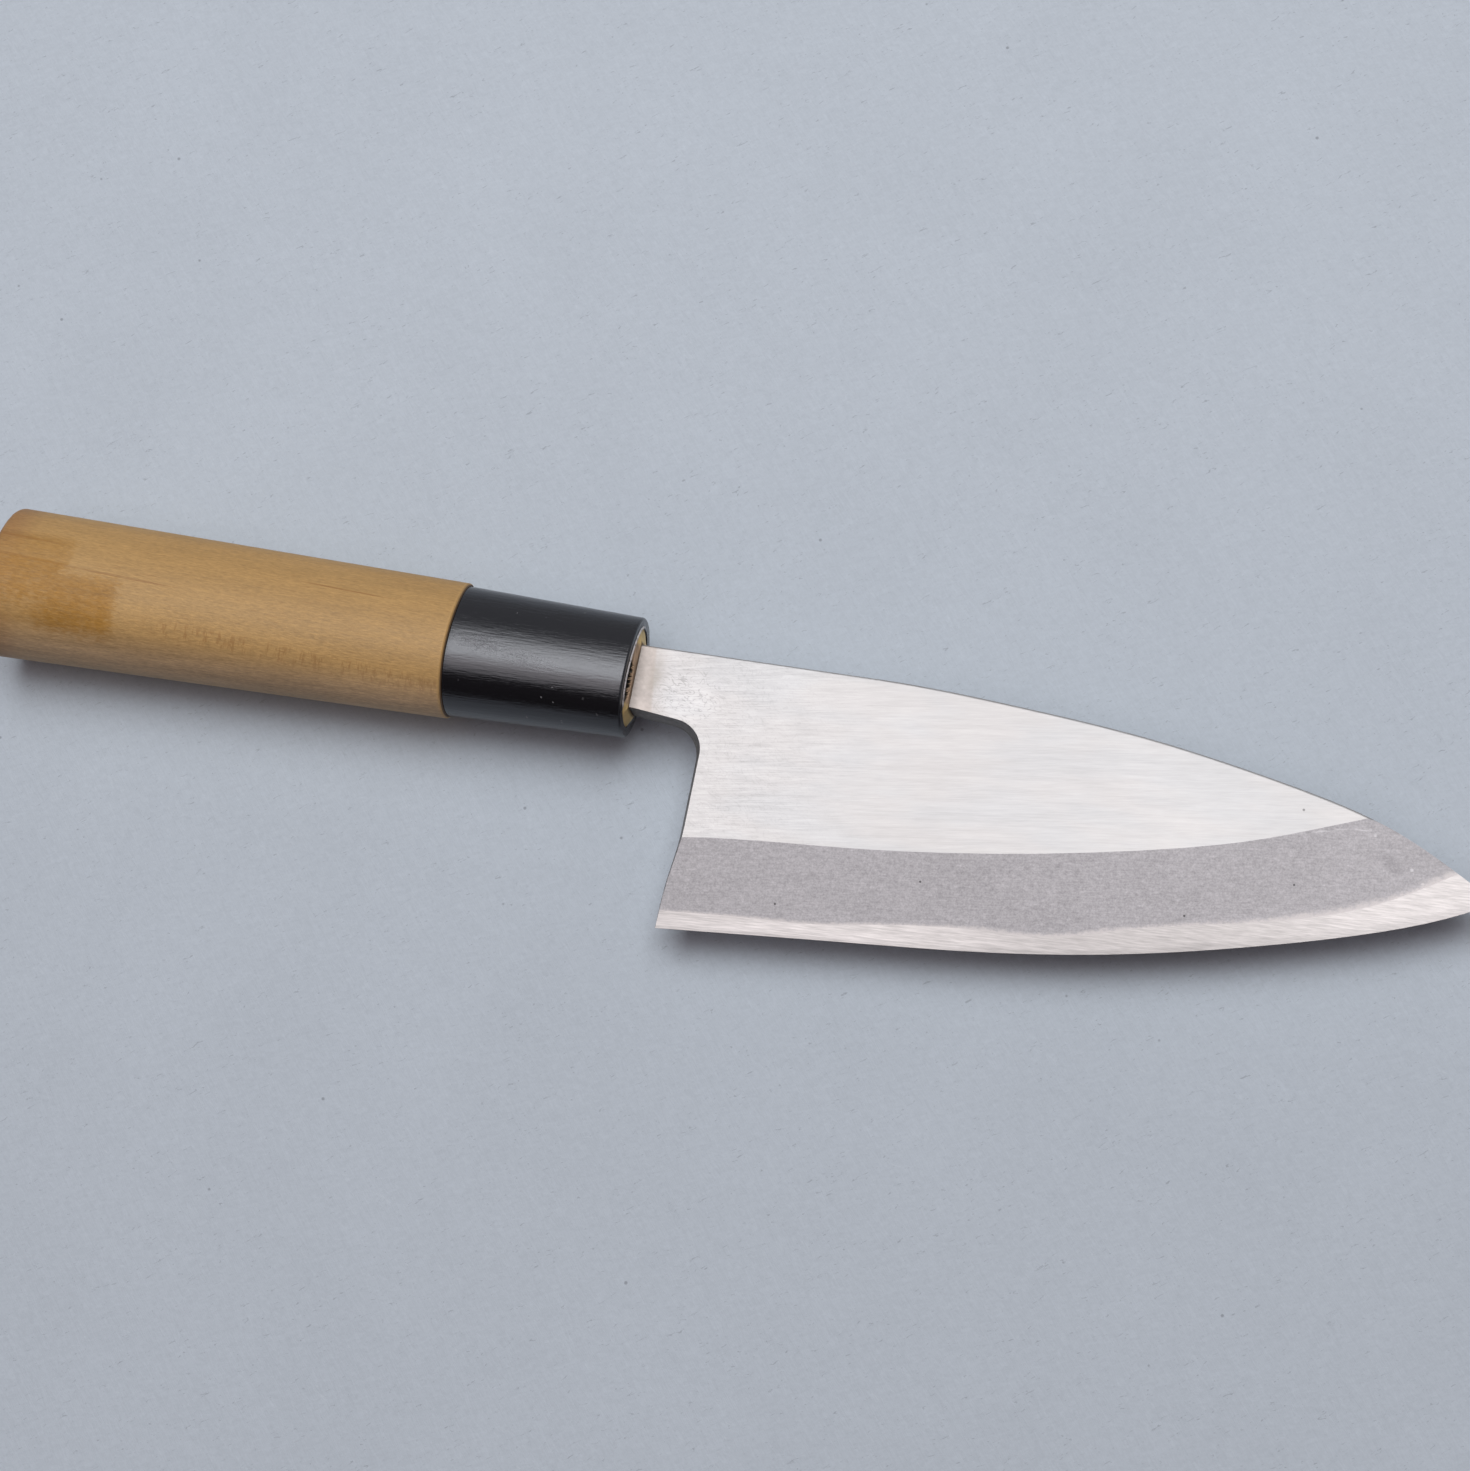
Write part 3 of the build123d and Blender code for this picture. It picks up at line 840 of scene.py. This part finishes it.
class KNIFE_OT_handle(bpy.types.Operator):
    """Makes the wooden handle with its tenon, its burnt mouth and the tang's socket"""

    bl_idname = "knife.handle"
    bl_label = "Wooden handle"

    def execute(self, context):
        settings = context.scene.knife_handle
        ferrule = context.scene.knife_ferrule
        butt, mouth = wood_low.x, wood_high.x
        shoulder = butt + settings.wood_length
        chamfer, easing, rim_width, ledge = settings.shoulder_chamfer, 0.1 * MM, 8 * MM, 1 * MM
        profile = outline(
            [
                (butt, rim_width, 0),
                (butt, 0, settings.butt_rounding),
                (shoulder - chamfer, settings.taper, easing),
                (shoulder, settings.taper + chamfer, easing),
                (shoulder, settings.taper + chamfer + ledge, 0),
            ],
            gap=1.5 * MM,
        )
        half_thickness = (wood_high.z - wood_low.z) / 2
        body = rings(
            *section(wood_high.y, half_thickness, settings.end_radius, settings.ridge_offset), profile
        )
        centre = np.array([butt, 0, axis_height])
        butt_face = centre + np.linspace(0.02, 1, BUTT_RINGS)[:-1, None, None] * (body[0] - centre)
        points, normals = ferrule_section(ferrule, settings.ridge_offset)
        drawn = ferrule.taper + ferrule.wall + settings.tenon_clearance
        last_ring = mouth - 3 * MM
        tenon = rings(points, normals, np.array([(shoulder, drawn), (last_ring, drawn)]))
        rim = level_ring(mouth, points - drawn * normals)
        nearness = np.linspace(0, 1, MOUTH_RINGS)[:, None]
        face, inside = self.socket(settings, rim, nearness)
        reach, slope = 0.74, 0.05
        chips = np.clip((reach * self.chips(points) - nearness) / slope, 0, 1)
        face[:, :, 0] -= settings.chip_depth * chips
        grid = np.concatenate([butt_face, body, tenon, face, inside])
        piece = skin("handle_wood", grid, wood_finish(settings, shoulder))
        around = ((len(grid) - len(face) - len(inside), len(inside)), (0, 0))
        note(piece, "chipped", np.pad(chips, around).ravel())
        by_tang = np.broadcast_to(nearness, chips.shape)
        note(piece, "by_tang", np.pad(by_tang, around, mode="edge").ravel())
        stand_for(piece, "handle")
        return {"FINISHED"}

    def chips(self, points):
        """How far the tenon's rim is chipped round the mouth, as a share, on the ground side alone.

        It is a level plus three sine waves across the mouth, each with a size, a rate and a start, times
        a fade at both ends.
        """
        across, up = points[:, 0] / MM, points[:, 1]
        level, ripples = 0.88, ((0.12, 1.3, 1), (0.14, 3.1, 0), (0.12, 7.3, 0))
        waves = sum((size * np.sin(rate * across + start) for size, rate, start in ripples), start=level)
        low, high, soft = -10.5, 4.4, 1.6
        fade = np.clip(np.minimum(across - low, high - across) / soft, 0, 1)
        return np.clip(waves, 0, 1) * fade * (up > axis_height)

    def socket(self, settings, rim, nearness):
        """Rings from the tenon's rim to a rectangle round the tang, and from there to the socket's end.

        A ray from the rectangle's middle to a point of the rim meets the rectangle at the ray divided by
        the larger of its two shares of the rectangle's half sizes. The scorched wood swells out of the
        mouth towards the tang, evenly. At the socket's end the rectangle's sides are smaller by the
        narrowing, because the tang narrows.
        """
        mouth = rim[0, 0]
        middle = np.array([(settings.tang_top - settings.tang_bottom) / 2, axis_height])
        half = np.array([settings.tang_top + settings.tang_bottom, settings.tang_thickness]) / 2
        half = half + settings.socket_clearance
        ray = rim[:, 1:] - middle
        slot = ray / np.max(np.abs(ray) / half, axis=1)[:, None]
        mouth_slot = level_ring(mouth + settings.mound, slot + middle)
        narrowing = np.array([0.54, 0.55])
        end = level_ring(mouth - settings.socket_depth, slot * narrowing + np.array([0, axis_height]))
        face = rim + nearness[:, :, None] * (mouth_slot - rim)
        walls = mouth_slot + np.linspace(0, 1, SOCKET_RINGS)[1:, None, None] * (end - mouth_slot)
        floor = end.mean(axis=0) + np.array([0.5, 0.1])[:, None, None] * (end - end.mean(axis=0))
        return face, np.concatenate([walls, floor])


class KNIFE_OT_stage(bpy.types.Operator):
    """Makes the floor, the soft light overhead, the dark flag, the room and the camera"""

    bl_idname = "knife.stage"
    bl_label = "Stage"

    def execute(self, context):
        settings = context.scene.knife_stage
        self.floor(settings)
        self.soft_light(settings)
        self.flag(settings)
        self.room(context.scene, settings)
        self.camera(context.scene)
        return {"FINISHED"}

    def sheet(self, name, corners, material):
        mesh = bpy.data.meshes.new(name)
        mesh.from_pydata(corners, [], [(0, 1, 2, 3)])
        mesh.materials.append(material)
        piece = bpy.data.objects.new(name, mesh)
        bpy.context.scene.collection.objects.link(piece)
        return piece

    def floor(self, settings):
        """Pale paper with short fibres, faint clouds and a few dark dots, and painted shade that darkens it a
        little towards -Y.

        Far out, where the light fades, the camera and reflections see it glow towards the backdrop's level,
        in two steps: painted light, from an emission that camera, glossy and glass rays alone see.
        """
        paper = Finish("floor_paper")
        fibres = paper.noise((1.6, 0.7), turn=25, detail=3, rough=0.65, twist=0.8)
        hairs = paper.noise((3.2, 0.5), turn=-50, detail=2, rough=0.6, twist=1.6)
        clouds = paper.noise(30, detail=3)
        # painted shade: the paper's colour falls by a few percent towards -Y, standing in for the light's
        # falloff
        fall = paper.rise(paper.y, 120, -120, 1.01, 0.96)
        tone = paper.product(paper.tone((fibres, 0.20), (hairs, 0.17), (clouds, 0.08)), fall)
        dots = paper.specks(9, 0.42, 0.62)
        ticks = paper.step(paper.noise((1.9, 0.5), turn=35, detail=2, twist=1.5), 0.67, 0.73)
        shreds = paper.step(paper.noise((2.6, 0.4), turn=-20, detail=2, twist=1.5), 0.67, 0.75)
        base = paper.shade(settings.floor_colour, tone)
        base = paper.lay(shreds, 0.30, base, SHRED)
        marked = paper.most(paper.math("MULTIPLY", dots, 0.5), paper.math("MULTIPLY", ticks, 0.35))
        paper.surface(paper.mix(marked, base, DOT), 0.75)
        paper.shader["Specular IOR Level"].default_value = 0.2
        paper.relief(paper.tone((fibres, 1.0), (hairs, 1.0)), 0.030)
        measured = paper.node("ShaderNodeVectorMath", operation="LENGTH")
        paper.feed(measured.inputs[0], paper.place)
        distance = measured.outputs["Value"]
        # painted light: the floor glows more with distance, in two steps, for camera, glossy and glass rays
        # alone
        near_glow = paper.step(distance, 0.25, 0.7, 0.0, 0.45)
        far_glow = paper.step(distance, 0.8, 2.2, 0.0, 0.45)
        painted_glow = paper.product(paper.math("ADD", near_glow, far_glow), paper.seen())
        paper.feed(paper.shader["Emission Color"], settings.backdrop_colour)
        paper.feed(paper.shader["Emission Strength"], painted_glow)
        paper.material.cycles.emission_sampling = "NONE"
        reach, clearance = settings.floor_reach, 0.02 * MM
        low = wood_low.z - clearance
        corners = [(-reach, -reach, low), (reach, -reach, low), (reach, reach, low), (-reach, reach, low)]
        self.sheet("floor", corners, paper.material)

    def soft_light(self, settings):
        """A large soft light overhead, brightest past its middle, whose radiance fades towards its ends.

        One corner is dimmer: the strength is one, less 0.85 times the product of a fade along it and one
        across it.
        """
        height = settings.light_height
        near, far, half_width = -0.64 * height, 0.95 * height, 0.45 * height
        lamp = bpy.data.lights.new("soft_light", "AREA")
        lamp.shape = "RECTANGLE"
        lamp.size = 2 * half_width
        lamp.size_y = far - near
        lamp.energy = settings.light_radiance * pi * lamp.size * lamp.size_y
        lamp.use_nodes = True
        light = Shading(lamp.node_tree)
        emission = light.tree.nodes["Emission"].inputs
        across, along, _ = light.split(light.node("ShaderNodeNewGeometry").outputs["Parametric"])
        ramp = light.node("ShaderNodeValToRGB")
        light.feed(ramp.inputs["Fac"], along)
        light.feed(emission["Color"], ramp.outputs["Color"])
        end_fade = light.step(along, 0.42, 0.30)
        side_fade = light.step(across, 0.40, 0.62, 0.0, -0.85)
        light.feed(emission["Strength"], light.math("MULTIPLY_ADD", end_fade, side_fade, 1))
        places = (0.0, 0.2, 0.32, 0.42, 0.52, 0.66, 0.78, 0.9, 1.0)
        levels = (0.18, 0.29, 0.44, 0.78, 0.98, 0.88, 0.5, 0.2, 0.08)
        tints = 3 * [(1.07, 0.98, 0.98)] + 6 * [(1.0, 1.0, 1.0)]
        stops = ramp.color_ramp.elements
        ramp.color_ramp.interpolation = "EASE"
        while len(stops) < len(places):
            stops.new(0.5)
        for stop, place, level, tint in zip(stops, places, levels, tints):
            stop.position = place
            stop.color = (*(level * part for part in tint), 1)
        lit = bpy.data.objects.new("soft_light", lamp)
        lit.location = (0, (near + far) / 2, height)
        lit.visible_camera = False
        bpy.context.scene.collection.objects.link(lit)

    def flag(self, settings):
        """A dark panel past the cutting edge's side, which darkens what the ferrule shows there."""
        dark = Finish("flag_cloth")
        dark.surface(CLOTH, 1)
        height = settings.light_height
        place, low, high, half = -0.66 * height, 0.0, 0.9 * height, 0.9 * height
        corners = [(-half, place, low), (half, place, low), (half, place, high), (-half, place, high)]
        panel = self.sheet("flag", corners, dark.material)
        panel.visible_camera = False
        panel.visible_diffuse = False
        panel.visible_shadow = False

    def room(self, scene, settings):
        """A dim room, which the camera and reflections see as a plain pale backdrop."""
        world = bpy.data.worlds.new("room")
        world.use_nodes = True
        room = Shading(world.node_tree)
        shown = room.mix(room.seen(), settings.room_colour, settings.backdrop_colour)
        room.feed(room.tree.nodes["Background"].inputs["Color"], shown)
        scene.world = world
        scene.view_settings.view_transform = "Standard"

    def camera(self, scene):
        """The photograph's camera: above the blade, its upright turned a little from the spine's side."""
        place = Vector((144.84, -163.73, 633.88)) * MM
        aim = Vector((19.36, -7.33, 0)) * MM
        upright = Matrix.Rotation(radians(11.32), 3, "Z") @ Vector((0, 1, 0))
        back = (place - aim).normalized()
        right = upright.cross(back).normalized()
        turn = Matrix((right, back.cross(right), back)).transposed()
        lens = bpy.data.cameras.new("camera")
        lens.sensor_fit = "HORIZONTAL"
        lens.sensor_width = 36
        lens.lens = 86.87
        lens.clip_start = 0.01
        camera = bpy.data.objects.new("camera", lens)
        camera.matrix_world = Matrix.Translation(place) @ turn.to_4x4()
        scene.collection.objects.link(camera)
        scene.camera = camera


class KNIFE_PT_panel(bpy.types.Panel):
    """Lists the knife's pieces and their sizes and colours"""

    bl_label = "Fish knife"
    bl_space_type = "VIEW_3D"
    bl_region_type = "UI"
    bl_category = "Knife"

    def draw(self, context):
        for group, (_, operators) in GROUPS.items():
            box = self.layout.box()
            for operator in operators:
                box.operator(operator.bl_idname)
            settings = getattr(context.scene, group)
            for name in settings.bl_rna.properties.keys():
                if name not in ("rna_type", "name"):
                    box.prop(settings, name)


GROUPS = {
    "knife_steel": (KnifeSteelSettings, (KNIFE_OT_iron, KNIFE_OT_steel)),
    "knife_ferrule": (KnifeFerruleSettings, (KNIFE_OT_ferrule,)),
    "knife_handle": (KnifeHandleSettings, (KNIFE_OT_handle,)),
    "knife_stage": (KnifeStageSettings, (KNIFE_OT_stage,)),
}
CLASSES = [made for settings, operators in GROUPS.values() for made in (settings, *operators)]
CLASSES.append(KNIFE_PT_panel)


def register():
    for made in CLASSES:
        bpy.utils.register_class(made)
    for name, (settings, _) in GROUPS.items():
        setattr(bpy.types.Scene, name, PointerProperty(type=settings))


def unregister():
    for name in GROUPS:
        delattr(bpy.types.Scene, name)
    for made in reversed(CLASSES):
        bpy.utils.unregister_class(made)


def main():
    register()
    bpy.ops.knife.stage()
    bpy.ops.knife.iron()
    bpy.ops.knife.steel()
    bpy.ops.knife.ferrule()
    bpy.ops.knife.handle()


if __name__ == "__main__":
    main()
